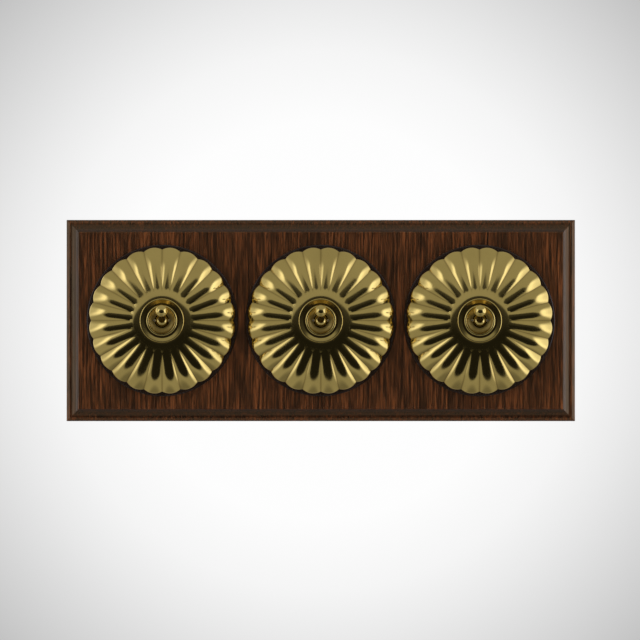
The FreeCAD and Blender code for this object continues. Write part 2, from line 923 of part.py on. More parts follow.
def make_screws(doc, s, label, places, seat, head, shank, length):
    """A group of slotted screws whose heads sit on one level and whose shanks point to the wall."""
    piece = Piece(doc, label)
    heads = piece.sketch("XY_Plane", seat)
    shanks = piece.sketch("XY_Plane", seat)
    slots = piece.sketch("XY_Plane", seat + s.screw_head_height)
    half = s.screw_slot_width / 2
    for across, up in places:
        circle(heads, across, up, head)
        circle(shanks, across, up, shank)
        reach = head / 2 + OVERCUT
        outline(slots, rectangle(across - reach, across + reach, up - half, up + half))
    piece.pad(heads, s.screw_head_height)
    piece.pad(shanks, length, reverse=True)
    piece.pocket(slots, s.screw_slot_depth)
    return piece.body


def copy_of(doc, master, label):
    """A second body with the same shape as the first."""
    body = doc.addObject("PartDesign::Body", label)
    body.AllowCompound = True
    base = body.newObject("PartDesign::FeatureBase", f"{label}_copy")
    base.BaseFeature = master
    body.Tip = base
    return body


def stand(item, label, across=0, out=0, up=0, tilt=0):
    """Name a piece and stand it up: its own Z points out from the wall, tilted up by an angle."""
    item.Label = label
    item.Placement = FreeCAD.Placement(
        FreeCAD.Vector(0, 0, 0), FreeCAD.Rotation(FreeCAD.Vector(1, 0, 0), 90))
    bind(item, "Placement.Base.x", across)
    bind(item, "Placement.Base.y", -as_size(out))
    bind(item, "Placement.Base.z", up)
    bind(item, "Placement.Rotation.Angle", 90 - as_size(tilt))
    return item


def gang_pieces(doc, s, z):
    """The pieces of one gang: each name with its body and where it stands on the gang's axis."""
    throw = s.dolly_angle / 2
    on_dolly = {"out": z.pivot, "tilt": throw}
    contact = make_fixed_contact(doc, s, z)
    terminal_length = s.strip_thickness + s.terminal_screw_bite
    bridge_length = s.bridge_thickness + s.block_height + s.bridge_screw_bite
    return {
        "base": (make_base(doc, s, z), {}),
        "dome_cover": (make_dome_cover(doc, s, z), {}),
        "cover_ring": (make_cover_ring(doc, s, z), {}),
        "nose_bush": (make_nose_bush(doc, s, z), {}),
        "bridge_plate": (make_bridge_plate(doc, s, z), {}),
        "mechanism_body": (make_mechanism_body(doc, s, z), {}),
        "dolly": (make_dolly(doc, s), on_dolly),
        "pivot_pin": (make_pivot_pin(doc, s), {"out": z.pivot}),
        "plunger": (make_plunger(doc, s), on_dolly),
        "plunger_spring": (make_plunger_spring(doc, s), on_dolly),
        "rocker": (make_rocker(doc, s, z), {"out": z.fulcrum, "tilt": -s.rocker_angle / 2}),
        "common_contact": (make_common_contact(doc, s, z), {}),
        "upper_contact": (contact, {"up": s.contact_offset}),
        "lower_contact": (copy_of(doc, contact, "lower_contact"), {"up": -s.contact_offset}),
        "base_screws": (
            make_screws(doc, s, "base_screws", base_screw_places(s), z.seat,
                        s.base_screw_head, s.base_screw_shank, s.base_screw_length), {}),
        "bridge_screws": (
            make_screws(doc, s, "bridge_screws", bridge_screw_places(s), z.bridge_top,
                        s.bridge_screw_head, s.bridge_screw_shank, bridge_length), {}),
        "terminal_screws": (
            make_screws(doc, s, "terminal_screws", terminal_places(s), z.strip_top,
                        s.terminal_screw_head, s.terminal_screw_shank, terminal_length), {}),
    }


def check(doc, nodes):
    """Stop before anything is written if an object failed or a node's shape is bad."""
    for item in doc.Objects:
        if "Invalid" in item.State or "Error" in item.State:
            raise RuntimeError(f"{item.Name} did not recompute: {item.State}")
    for node in nodes:
        if node.Shape.isNull() or not node.Shape.isValid():
            raise RuntimeError(f"{node.Label} has no valid shape")


def main():
    doc = FreeCAD.newDocument("dolly_switch")
    s = Sheet(doc)
    z = Levels(s)
    nodes = [stand(make_plinth(doc, s, z), "plinth")]
    for name, (master, place) in gang_pieces(doc, s, z).items():
        for gang, step in GANGS.items():
            label = f"{gang}_{name}"
            item = master if step == 0 else copy_of(doc, master, label)
            nodes.append(stand(item, label, across=step * s.gang_pitch, **place))
    doc.recompute()
    check(doc, nodes)
    os.makedirs("parts", exist_ok=True)
    for node in nodes:
        node.Shape.exportStep(f"parts/{node.Label}.step")


main()
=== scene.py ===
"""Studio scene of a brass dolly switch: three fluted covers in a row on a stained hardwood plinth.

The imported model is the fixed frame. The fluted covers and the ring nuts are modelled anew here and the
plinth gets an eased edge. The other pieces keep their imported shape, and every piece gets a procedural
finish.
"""

from __future__ import annotations

import logging
import math
from dataclasses import dataclass
from enum import Enum
from typing import Any, ClassVar, Sequence, Union

import bmesh
import bpy
from mathutils import Matrix, Vector


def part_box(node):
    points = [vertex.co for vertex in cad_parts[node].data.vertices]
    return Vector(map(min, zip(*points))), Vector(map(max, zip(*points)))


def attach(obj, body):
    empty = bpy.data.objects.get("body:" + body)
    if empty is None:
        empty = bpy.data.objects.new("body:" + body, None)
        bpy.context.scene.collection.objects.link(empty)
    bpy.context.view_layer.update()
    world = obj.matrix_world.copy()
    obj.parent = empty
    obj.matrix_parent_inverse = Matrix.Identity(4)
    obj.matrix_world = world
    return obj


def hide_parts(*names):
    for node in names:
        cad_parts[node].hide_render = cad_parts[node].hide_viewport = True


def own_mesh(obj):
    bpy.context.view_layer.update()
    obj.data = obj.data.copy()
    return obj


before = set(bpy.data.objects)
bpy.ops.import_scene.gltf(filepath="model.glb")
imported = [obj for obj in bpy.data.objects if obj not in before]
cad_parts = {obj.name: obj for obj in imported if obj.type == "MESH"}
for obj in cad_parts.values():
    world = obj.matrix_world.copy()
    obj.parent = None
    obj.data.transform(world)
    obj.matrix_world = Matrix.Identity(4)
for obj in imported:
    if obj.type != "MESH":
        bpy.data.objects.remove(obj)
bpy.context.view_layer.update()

MM = 0.001
MERGE_DISTANCE = 0.0005 * MM
TOUCH_DISTANCE = 0.001 * MM
CLEAR_DISTANCE = 0.01 * MM
PACKED_CREASE = 28.0
QUARTER_TURN = math.radians(90.0)
FULL_RANGE = (0.0, 1.0)
log = logging.getLogger("dolly_switch")

Socket = bpy.types.NodeSocket
Feed = Union[Socket, float, Sequence[float]]
Pair = tuple[float, float]
Triple = tuple[float, float, float]
Colour = Triple


class Gang(Enum):
    """The three switches of the row."""

    LEFT = "left"
    CENTRE = "centre"
    RIGHT = "right"

    def node(self, name: str) -> str:
        """The full name of one of this switch's pieces."""
        return f"{self.value}_{name}"


class Slot(Enum):
    """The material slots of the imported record."""

    WOOD = "wood"
    BRASS = "brass"
    BLACK_MOULDING = "black_moulding"
    BROWN_MOULDING = "brown_moulding"
    STEEL = "steel"
    NYLON = "nylon"


class Mark(Enum):
    """The mesh attributes that tell a finish where shade is painted on a surface, and where it is satin."""

    # painted shade: the finishes darken the colour where this mark is set
    PAINTED_SHADE = "valley"
    SATIN = "satin"


def opaque(colour: Colour) -> tuple[float, float, float, float]:
    """A colour with full alpha, as a colour socket takes it."""
    return (*colour, 1.0)


class Tree:
    """Adds and joins nodes in one node tree."""

    MIX_COLOURS: ClassVar[tuple[int, int]] = (6, 7)
    MIX_RESULT: ClassVar[int] = 2

    def __init__(self, tree: bpy.types.NodeTree) -> None:
        """Take the tree that the nodes go into."""
        self.tree = tree

    def feed(self, socket: Socket, value: Feed) -> None:
        """Link another socket to this one, or set its value."""
        if isinstance(value, bpy.types.NodeSocket):
            self.tree.links.new(value, socket)
        else:
            socket.default_value = value

    def add(self, kind: str, inputs: dict[Any, Feed] | None = None, **settings: Any) -> bpy.types.Node:
        """Add a node.

        Args:
            kind: Blender's name of the node type.
            inputs: what goes into its sockets, by name or number.
            settings: its other properties, which are set first.

        Returns:
            The new node.
        """
        node = self.tree.nodes.new(kind)
        for name, value in settings.items():
            setattr(node, name, value)
        for key, value in (inputs or {}).items():
            self.feed(node.inputs[key], value)
        return node

    def combine(self, operation: str, first: Feed, second: Feed, clamp: bool = False) -> Socket:
        """Join two values with one Math operation.

        Args:
            operation: the Math node's operation.
            first: its first value.
            second: its second value.
            clamp: whether the result stays between 0 and 1.

        Returns:
            The result.
        """
        node = self.add("ShaderNodeMath", {0: first, 1: second}, operation=operation, use_clamp=clamp)
        return node.outputs[0]

    def plus(self, first: Feed, second: Feed, clamp: bool = False) -> Socket:
        """Two values added up."""
        return self.combine("ADD", first, second, clamp)

    def minus(self, first: Feed, second: Feed) -> Socket:
        """One value less another."""
        return self.combine("SUBTRACT", first, second)

    def times(self, first: Feed, second: Feed) -> Socket:
        """Two values multiplied."""
        return self.combine("MULTIPLY", first, second)

    def remap(self, value: Feed, limits: Pair, results: Pair = FULL_RANGE) -> Socket:
        """Ease a value from one range into another, without going past its ends.

        Args:
            value: the value to ease.
            limits: where its range starts and ends.
            results: the results at the start and at the end.

        Returns:
            The eased value.
        """
        labels = ("From Min", "From Max", "To Min", "To Max")
        inputs = {"Value": value, **dict(zip(labels, (*limits, *results)))}
        node = self.add("ShaderNodeMapRange", inputs, interpolation_type="SMOOTHSTEP")
        return node.outputs["Result"]

    def noise(self, vector: Socket, scale: Feed, detail: float = 2.0, roughness: float = 0.5) -> Socket:
        """Noise over a vector.

        Args:
            vector: the coordinates.
            scale: how fine the noise is.
            detail: how many finer layers it has.
            roughness: how strong those layers are.

        Returns:
            The noise, about 0 to 1.
        """
        inputs = {"Vector": vector, "Scale": scale, "Detail": detail, "Roughness": roughness}
        return self.add("ShaderNodeTexNoise", inputs).outputs["Fac"]

    def stretched(self, vector: Socket, scale: Triple) -> Socket:
        """The same coordinates with another scale along each axis."""
        return self.add("ShaderNodeMapping", {"Vector": vector, "Scale": scale}).outputs["Vector"]

    def marked(self, mark: Mark) -> Socket:
        """What the mesh's own marks say, which is 0 where it has none."""
        return self.add("ShaderNodeAttribute", attribute_name=mark.value).outputs["Fac"]

    def mixed(self, factor: Feed, first: Feed, second: Feed) -> Socket:
        """A colour between two colours."""
        low, high = self.MIX_COLOURS
        node = self.add("ShaderNodeMix", {0: factor, low: first, high: second}, data_type="RGBA")
        return node.outputs[self.MIX_RESULT]

    def ramp(self, factor: Socket, stops: Sequence[tuple[float, Colour]]) -> Socket:
        """A colour read from a row of stops.

        Args:
            factor: where on the ramp to read.
            stops: each place on the ramp with its colour.

        Returns:
            The colour.
        """
        node = self.add("ShaderNodeValToRGB", {"Fac": factor})
        elements = node.color_ramp.elements
        while len(elements) < len(stops):
            elements.new(1.0)
        for element, (place, colour) in zip(elements, stops):
            element.position = place
            element.color = opaque(colour)
        return node.outputs["Color"]


class Effects:
    """The shader node groups that several finishes share."""

    LINES_ALONG: ClassVar[Triple] = (1.0, 0.06, 0.06)
    LINES_ACROSS: ClassVar[Triple] = (0.05, 0.6, 1.0)
    LINE_LIMITS: ClassVar[Pair] = (0.52, 0.78)
    SMUDGE_LIMITS: ClassVar[Pair] = (0.38, 0.70)
    CLOUD_LIMITS: ClassVar[Pair] = (0.3, 0.7)

    def __init__(self) -> None:
        """Build every group once."""
        self.polish = self.build_polish()
        self.moulding = self.build_moulding()

    @staticmethod
    def start(name: str, inputs: Sequence[str], outputs: Sequence[str]) -> tuple[Tree, Any, Any]:
        """Open a new group.

        Args:
            name: the group's name.
            inputs: its value inputs, beside the coordinates.
            outputs: its value outputs.

        Returns:
            The tree, the sockets that its input node gives and those that its output node takes.
        """
        group = bpy.data.node_groups.new(name, "ShaderNodeTree")
        group.interface.new_socket("Vector", in_out="INPUT", socket_type="NodeSocketVector")
        for way, labels in (("INPUT", inputs), ("OUTPUT", outputs)):
            for label in labels:
                group.interface.new_socket(label, in_out=way, socket_type="NodeSocketFloat")
        tree = Tree(group)
        return tree, tree.add("NodeGroupInput").outputs, tree.add("NodeGroupOutput").inputs

    def build_polish(self) -> bpy.types.NodeTree:
        """Polishing lines and soft handling smudges on metal.

        Returns:
            The group, with the outputs Lines and Smudge.
        """
        tree, given, result = self.start("polish_marks", ["Fineness", "Smudge Size"], ["Lines", "Smudge"])
        along, across = (
            tree.noise(tree.stretched(given["Vector"], scale), given["Fineness"], detail=3.0, roughness=0.6)
            for scale in (self.LINES_ALONG, self.LINES_ACROSS)
        )
        lines = tree.combine("MAXIMUM", along, across)
        smudge = tree.noise(given["Vector"], given["Smudge Size"], detail=4.0, roughness=0.55)
        tree.feed(result["Lines"], tree.remap(lines, self.LINE_LIMITS))
        tree.feed(result["Smudge"], tree.remap(smudge, self.SMUDGE_LIMITS))
        return tree.tree

    def build_moulding(self) -> bpy.types.NodeTree:
        """The cloudy tone and fine skin of a moulded piece.

        Returns:
            The group, with the outputs Cloud and Skin.
        """
        tree, given, result = self.start("moulded_skin", ["Cloud Size", "Skin Size"], ["Cloud", "Skin"])
        cloud = tree.noise(given["Vector"], given["Cloud Size"], detail=3.0, roughness=0.5)
        skin = tree.noise(given["Vector"], given["Skin Size"], detail=2.0, roughness=0.6)
        tree.feed(result["Cloud"], tree.remap(cloud, self.CLOUD_LIMITS))
        tree.feed(result["Skin"], skin)
        return tree.tree


class Finish:
    """What every finish has in common: a material with one Principled shader on Object coordinates."""

    @staticmethod
    def start(name: str) -> tuple[bpy.types.Material, Tree, bpy.types.Node, Socket]:
        """Open a new material.

        Args:
            name: the material's name.

        Returns:
            The material, its tree, its shader and its Object coordinates.
        """
        material = bpy.data.materials.new(name)
        material.use_nodes = True
        tree = Tree(material.node_tree)
        shader = material.node_tree.nodes["Principled BSDF"]
        place = tree.add("ShaderNodeTexCoord").outputs["Object"]
        return material, tree, shader, place

    @staticmethod
    def roughen(tree: Tree, shader: bpy.types.Node, height: Socket, strength: float, depth: float) -> None:
        """Give a shader's normal a bump.

        Args:
            tree: the material's tree.
            shader: the shader.
            height: the bump's height, 0 to 1.
            strength: how strong the bump is.
            depth: how deep it is, in metres.
        """
        bump = tree.add("ShaderNodeBump", {"Height": height, "Strength": strength, "Distance": depth})
        tree.feed(shader.inputs["Normal"], bump.outputs["Normal"])


@dataclass(frozen=True)
class MetalFinish(Finish):
    """A polished or plain metal with polishing lines and smudges.

    It has painted shade, darker where a mesh is marked for shade, and is rougher where it is marked as satin.
    """

    name: str
    colour: Colour
    smudge_and_shade_colour: Colour
    smooth: float
    rough: float
    line_fineness: float
    smudge_size: float
    line_depth: float
    painted_shade_tone: float = 0.0
    satin_rough: float = 0.3
    smudge_tone: float = 0.16
    smudge_wear: float = 0.7
    line_wear: float = 0.3
    line_bump: float = 0.12

    def material(self, effects: Effects) -> bpy.types.Material:
        """Make the material.

        Args:
            effects: the shared shader groups.

        Returns:
            The finished material.
        """
        material, tree, shader, place = self.start(self.name)
        inputs = {"Vector": place, "Fineness": self.line_fineness, "Smudge Size": self.smudge_size}
        marks = tree.add("ShaderNodeGroup", inputs, node_tree=effects.polish)
        lines = marks.outputs["Lines"]
        smudge = marks.outputs["Smudge"]
        # painted shade: darker colour where the mesh's shade mark is set, mixed with the real smudges
        painted_shade = tree.times(tree.marked(Mark.PAINTED_SHADE), self.painted_shade_tone)
        darkening = tree.plus(painted_shade, tree.times(smudge, self.smudge_tone), clamp=True)
        colour = tree.mixed(darkening, opaque(self.colour), opaque(self.smudge_and_shade_colour))
        wear = tree.plus(tree.times(smudge, self.smudge_wear), tree.times(lines, self.line_wear), clamp=True)
        worn = tree.remap(wear, FULL_RANGE, (self.smooth, self.rough))
        satin = tree.times(tree.marked(Mark.SATIN), self.satin_rough)
        tree.feed(shader.inputs["Base Color"], colour)
        tree.feed(shader.inputs["Roughness"], tree.plus(worn, satin))
        shader.inputs["Metallic"].default_value = 1.0
        self.roughen(tree, shader, lines, self.line_bump, self.line_depth)
        return material


@dataclass(frozen=True)
class MouldedFinish(Finish):
    """A moulded plastic with a cloudy tone and a fine skin."""

    name: str
    colour: Colour
    cloud_colour: Colour
    smooth: float
    rough: float
    skin_size: float
    skin_depth: float
    skin_bump: float = 0.2
    cloud_size: float = 90.0

    def material(self, effects: Effects) -> bpy.types.Material:
        """Make the material.

        Args:
            effects: the shared shader groups.

        Returns:
            The finished material.
        """
        material, tree, shader, place = self.start(self.name)
        inputs = {"Vector": place, "Cloud Size": self.cloud_size, "Skin Size": self.skin_size}
        skin = tree.add("ShaderNodeGroup", inputs, node_tree=effects.moulding)
        cloud = skin.outputs["Cloud"]
        colour = tree.mixed(cloud, opaque(self.colour), opaque(self.cloud_colour))
        tree.feed(shader.inputs["Base Color"], colour)
        tree.feed(shader.inputs["Roughness"], tree.remap(cloud, FULL_RANGE, (self.smooth, self.rough)))
        self.roughen(tree, shader, skin.outputs["Skin"], self.skin_bump, self.skin_depth)
        return material


@dataclass(frozen=True)
class StainedHardwood(Finish):
    """Dark stained hardwood with upright figure and open pores, under a satin lacquer.

    Each layer of the figure has its width and its length. Painted shade darkens it where a mesh is marked for
    shade.
    """

    name: str
    tones: tuple[tuple[float, Colour], ...]
    pore_colour: Colour
    bands: Pair
    streaks: Pair
    flecks: Pair
    pores: Pair
    smooth: float
    rough: float
    sheen: float
    sheen_tint: Colour
    lacquer: float
    lacquer_rough: float
    painted_shade_strength: float
    weights: Triple = (0.16, 0.34, 0.50)
    layer_rough: float = 0.55
    sway: float = 2.2 * MM
    sway_scale: Triple = (30.0, 30.0, 18.0)
    tone_limits: Pair = (0.33, 0.68)
    pore_limits: Pair = (0.575, 0.70)
    rough_limits: Pair = (0.3, 0.7)
    fleck_height: float = 0.35
    pore_depth: float = 0.65
    relief: float = 0.35
    relief_depth: float = 0.12 * MM

    def material(self, effects: Effects) -> bpy.types.Material:
        """Make the material.

        Args:
            effects: the shared shader groups, of which wood uses none.

        Returns:
            The finished material.
        """
        material, tree, shader, place = self.start(self.name)
        sway = tree.minus(tree.noise(tree.stretched(place, self.sway_scale), 1.0), 0.5)
        shift = tree.add("ShaderNodeCombineXYZ", {"X": tree.times(sway, self.sway)}).outputs["Vector"]
        swayed = tree.add("ShaderNodeVectorMath", {0: place, 1: shift}, operation="ADD").outputs["Vector"]
        layers = (self.bands, self.streaks, self.flecks, self.pores)
        scales = [(1.0 / width, 1.0 / width, 1.0 / length) for width, length in layers]
        bands, streaks, flecks, pores = (
            tree.noise(tree.stretched(swayed, scale), 1.0, roughness=self.layer_rough) for scale in scales)
        broad, narrow, short = (
            tree.times(layer, weight) for layer, weight in zip((bands, streaks, flecks), self.weights))
        tone = tree.plus(tree.plus(broad, narrow), short)
        stain = tree.ramp(tree.remap(tone, self.tone_limits), self.tones)
        pore = tree.remap(pores, self.pore_limits)
        # painted shade in the cove, mixed with the dark pores
        pores_and_painted_shade = tree.combine("MAXIMUM", pore, tree.times(tree.marked(Mark.PAINTED_SHADE), self.painted_shade_strength))
        tree.feed(shader.inputs["Base Color"], tree.mixed(pores_and_painted_shade, stain, opaque(self.pore_colour)))
        rough = tree.remap(streaks, self.rough_limits, (self.smooth, self.rough))
        tree.feed(shader.inputs["Roughness"], rough)
        shader.inputs["Specular IOR Level"].default_value = self.sheen
        shader.inputs["Specular Tint"].default_value = opaque(self.sheen_tint)
        shader.inputs["Coat Weight"].default_value = self.lacquer
        shader.inputs["Coat Roughness"].default_value = self.lacquer_rough
        height = tree.minus(tree.times(flecks, self.fleck_height), tree.times(pore, self.pore_depth))
        self.roughen(tree, shader, height, self.relief, self.relief_depth)
        return material


class Shelf:
    """Every finish of the object, made once and handed out by slot."""

    FINISHES: ClassVar[dict[Slot, MetalFinish | MouldedFinish | StainedHardwood]] = {
        Slot.WOOD: StainedHardwood(
            name="stained_hardwood",
            tones=(
                (0.0, (0.0088, 0.0039, 0.0024)),
                (0.30, (0.0220, 0.0077, 0.0035)),
                (0.55, (0.0451, 0.0134, 0.0046)),
                (0.80, (0.0902, 0.0237, 0.0066)),
                (1.0, (0.1430, 0.0407, 0.0105)),
            ),
            pore_colour=(0.007, 0.0035, 0.0022),
            bands=(7.0 * MM, 150.0 * MM),
            streaks=(0.95 * MM, 34.0 * MM),
            flecks=(0.55 * MM, 11.0 * MM),
            pores=(0.4 * MM, 4.0 * MM),
            smooth=0.27,
            rough=0.36,
            sheen=1.0,
            sheen_tint=(1.0, 0.70, 0.34),
            lacquer=0.2,
            lacquer_rough=0.18,
            # painted shade in the plinth's cove
            painted_shade_strength=0.6,
        ),
        Slot.BRASS: MetalFinish(
            name="polished_brass",
            colour=(0.84, 0.64, 0.205),
            # the darker colour serves both the smudges and the painted shade
            smudge_and_shade_colour=(0.40, 0.28, 0.08),
            smooth=0.10,
            rough=0.19,
            line_fineness=1500.0,
            smudge_size=55.0,
            line_depth=0.01 * MM,
            painted_shade_tone=0.7,
        ),
        Slot.BLACK_MOULDING: MouldedFinish(
            name="black_moulding",
            colour=(0.012, 0.007, 0.004),
            cloud_colour=(0.018, 0.010, 0.006),
            smooth=0.12,
            rough=0.22,
            skin_size=700.0,
            skin_depth=0.03 * MM,
        ),
        Slot.BROWN_MOULDING: MouldedFinish(
            name="brown_moulding",
            colour=(0.085, 0.040, 0.022),
            cloud_colour=(0.125, 0.065, 0.038),
            smooth=0.42,
            rough=0.58,
            skin_size=900.0,
            skin_depth=0.05 * MM,
        ),
        Slot.STEEL: MetalFinish(
            name="yellow_plated_steel",
            colour=(0.56, 0.46, 0.27),
            smudge_and_shade_colour=(0.36, 0.29, 0.16),
            smooth=0.24,
            rough=0.40,
            line_fineness=1200.0,
            smudge_size=120.0,
            line_depth=0.02 * MM,
        ),
        Slot.NYLON: MouldedFinish(
            name="plain_nylon",
            colour=(0.80, 0.78, 0.70),
            cloud_colour=(0.86, 0.84, 0.78),
            smooth=0.45,
            rough=0.60,
            skin_size=1500.0,
            skin_depth=0.02 * MM,
        ),
    }

    def __init__(self) -> None:
        """Make every material."""
        effects = Effects()
        self.materials = {slot: finish.material(effects) for slot, finish in self.FINISHES.items()}

    def dress(self, piece: bpy.types.Object, slot: Slot) -> None:
        """Give a piece the finish of a slot in place of what it had."""
        piece.data.materials.clear()
        piece.data.materials.append(self.materials[slot])


def new_mesh(name: str, bm: bmesh.types.BMesh) -> bpy.types.Mesh:
    """Turn a bmesh into a mesh.

    Args:
        name: the mesh's name.
        bm: the bmesh, which is freed.

    Returns:
        The new mesh.
    """
    mesh = bpy.data.meshes.new(name)
    bm.to_mesh(mesh)
    bm.free()
    return mesh


def new_object(name: str, data: bpy.types.ID) -> bpy.types.Object:
    """Put a mesh, a lamp or a camera into the scene.

    Args:
        name: the object's name.
        data: the mesh, lamp or camera.

    Returns:
        The new object.
    """
    obj = bpy.data.objects.new(name, data)
    bpy.context.scene.collection.objects.link(obj)
    return obj


class Turning:
    """A spun form: a section of a few corners, some of them rounded, turned about its own axis."""

    def __init__(self, corners: Sequence[Pair], closed: bool) -> None:
        """Draw the section.

        Args:
            corners: radius and height of each corner, in metres.
            closed: whether the last corner joins the first.
        """
        self.bm = bmesh.new()
        self.corners = [self.bm.verts.new((radius, 0.0, height)) for radius, height in corners]
        following = self.corners[1:] + self.corners[:1] if closed else self.corners[1:]
        for start, stop in zip(self.corners, following):
            self.bm.edges.new((start, stop))

    def round_corners(self, rounds: dict[int, tuple[float, int]]) -> None:
        """Round corners of the section.

        Args:
            rounds: by the corner's number, the radius and the number of steps.
        """
        for number, (radius, steps) in rounds.items():
            corner = self.corners[number]
            arms = [(edge.other_vert(corner).co - corner.co).normalized() for edge in corner.link_edges]
            turn = math.pi - arms[0].angle(arms[1])
            bmesh.ops.bevel(
                self.bm,
                geom=[corner],
                offset=radius * math.tan(turn / 2.0),
                offset_type="OFFSET",
                segments=steps,
                profile=0.5,
                affect="VERTICES",
                material=-1,
                clamp_overlap=True,
            )

    def line_to(self, radius: float, height: float) -> None:
        """Draw an open section on in a straight line."""
        grown = bmesh.ops.extrude_vert_indiv(self.bm, verts=[self.corners[-1]])
        grown["verts"][0].co = Vector((radius, 0.0, height))
        self.corners.append(grown["verts"][0])

    def arc_about(self, radius: float, height: float, turn: float, steps: int) -> None:
        """Draw an open section on in an arc.

        Args:
            radius: how far the arc's centre lies from the axis.
            height: how high the centre lies.
            turn: the angle of the arc in radians, from the outside towards the top.
            steps: the number of steps.
        """
        grown = bmesh.ops.spin(
            self.bm,
            geom=[self.corners[-1]],
            cent=(radius, 0.0, height),
            axis=(0.0, 1.0, 0.0),
            dvec=(0.0, 0.0, 0.0),
            angle=-turn,
            steps=steps,
            use_merge=False,
            use_duplicate=False,
        )
        self.corners += [item for item in grown["geom_last"] if isinstance(item, bmesh.types.BMVert)]

    def walk(self) -> list[bmesh.types.BMVert]:
        """Follow an open section.

        Returns:
            Its vertices in order, from its lower end.
        """
        ends = [vert for vert in self.bm.verts if len(vert.link_edges) == 1]
        path = [min(ends, key=lambda vert: vert.co.z)]
        seen = {path[0]}
        while True:
            ways = [edge.other_vert(path[-1]) for edge in path[-1].link_edges]
            fresh = [vert for vert in ways if vert not in seen]
            if not fresh:
                return path
            path.append(fresh[-1])
            seen.add(fresh[-1])

    def spin(self, steps: int) -> None:
        """Turn the section about the axis and close the seam.

        Args:
            steps: the number of steps all round.
        """
        bmesh.ops.spin(
            self.bm,
            geom=list(self.bm.verts) + list(self.bm.edges),
            cent=(0.0, 0.0, 0.0),
            axis=(0.0, 0.0, 1.0),
            dvec=(0.0, 0.0, 0.0),
            angle=2.0 * math.pi,
            steps=steps,
            use_merge=True,
            use_duplicate=False,
        )
        bmesh.ops.remove_doubles(self.bm, verts=self.bm.verts, dist=MERGE_DISTANCE)
        bmesh.ops.recalc_face_normals(self.bm, faces=self.bm.faces)

    def piece(self, name: str, place: Matrix, crease: float) -> bpy.types.Object:
        """Make the object, with its place in its mesh.

        Args:
            name: the piece's name.
            place: from the section's own axis to the shared frame.
            crease: the angle in degrees past which an edge is sharp.

        Returns:
            The new object.
        """
        bmesh.ops.transform(self.bm, matrix=place, verts=self.bm.verts)
        for face in self.bm.faces:
            face.smooth = True
        for edge in self.bm.edges:
            edge.smooth = edge.calc_face_angle(0.0) < math.radians(crease)
        return new_object(name, new_mesh(name, self.bm))


def gang_place(gang: Gang) -> Matrix:
    """From a switch's own axis, which points out from the wall, to the shared frame."""
    low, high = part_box(gang.node("base"))
    middle = (low + high) / 2.0
    return Matrix.Translation((middle.x, 0.0, middle.z)) @ Matrix.Rotation(QUARTER_TURN, 4, "X")


def shade_smooth(obj: bpy.types.Object) -> None:
    """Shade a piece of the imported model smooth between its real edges.

    Args:
        obj: the piece.
    """
    obj.data.polygons.foreach_set("use_smooth", [True] * len(obj.data.polygons))
    weld = obj.modifiers.new("joined_corners", "WELD")
    weld.merge_threshold = MERGE_DISTANCE
    split = obj.modifiers.new("real_edges", "EDGE_SPLIT")
    split.split_angle = math.radians(PACKED_CREASE)


def keep_packed(name: str, slot: Slot, shelf: Shelf) -> None:
    """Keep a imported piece's shape, shade it smooth and dress it.

    Args:
        name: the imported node.
        slot: its material slot.
        shelf: the finishes.
    """
    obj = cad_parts[name]
    shade_smooth(obj)
    shelf.dress(obj, slot)
    log.info("kept %s in %s", name, slot.value)


@dataclass(frozen=True)
class CrestArc:
    """One arc of the cover's line: its centre, its radius and the slopes at both ends."""

    across: float
    height: float
    bend: float
    flat_slope: float
    steep_slope: float

    @classmethod
    def between(cls, inner: Pair, outer: Pair, level: float) -> CrestArc:
        """Draw the arc that falls from one slope to a steeper one.

        Args:
            inner: the radius where it starts, and its slope there in radians.
            outer: the radius where it ends, and its slope there.
            level: its height where it starts.

        Returns:
            The arc.
        """
        (radius, flat), (reach, steep) = inner, outer
        bend = (reach - radius) / (math.sin(steep) - math.sin(flat))
        return cls(radius - bend * math.sin(flat), level - bend * math.cos(flat), bend, flat, steep)

    def level(self, radius: float, sunk: float = 0.0) -> float:
        """The height of the arc at a radius, for a skin sunk below it."""
        return self.height + math.sqrt((self.bend - sunk) ** 2 - (radius - self.across) ** 2)

    def slope(self, radius: float) -> float:
        """The slope of the arc at a radius."""
        return math.asin((radius - self.across) / self.bend)


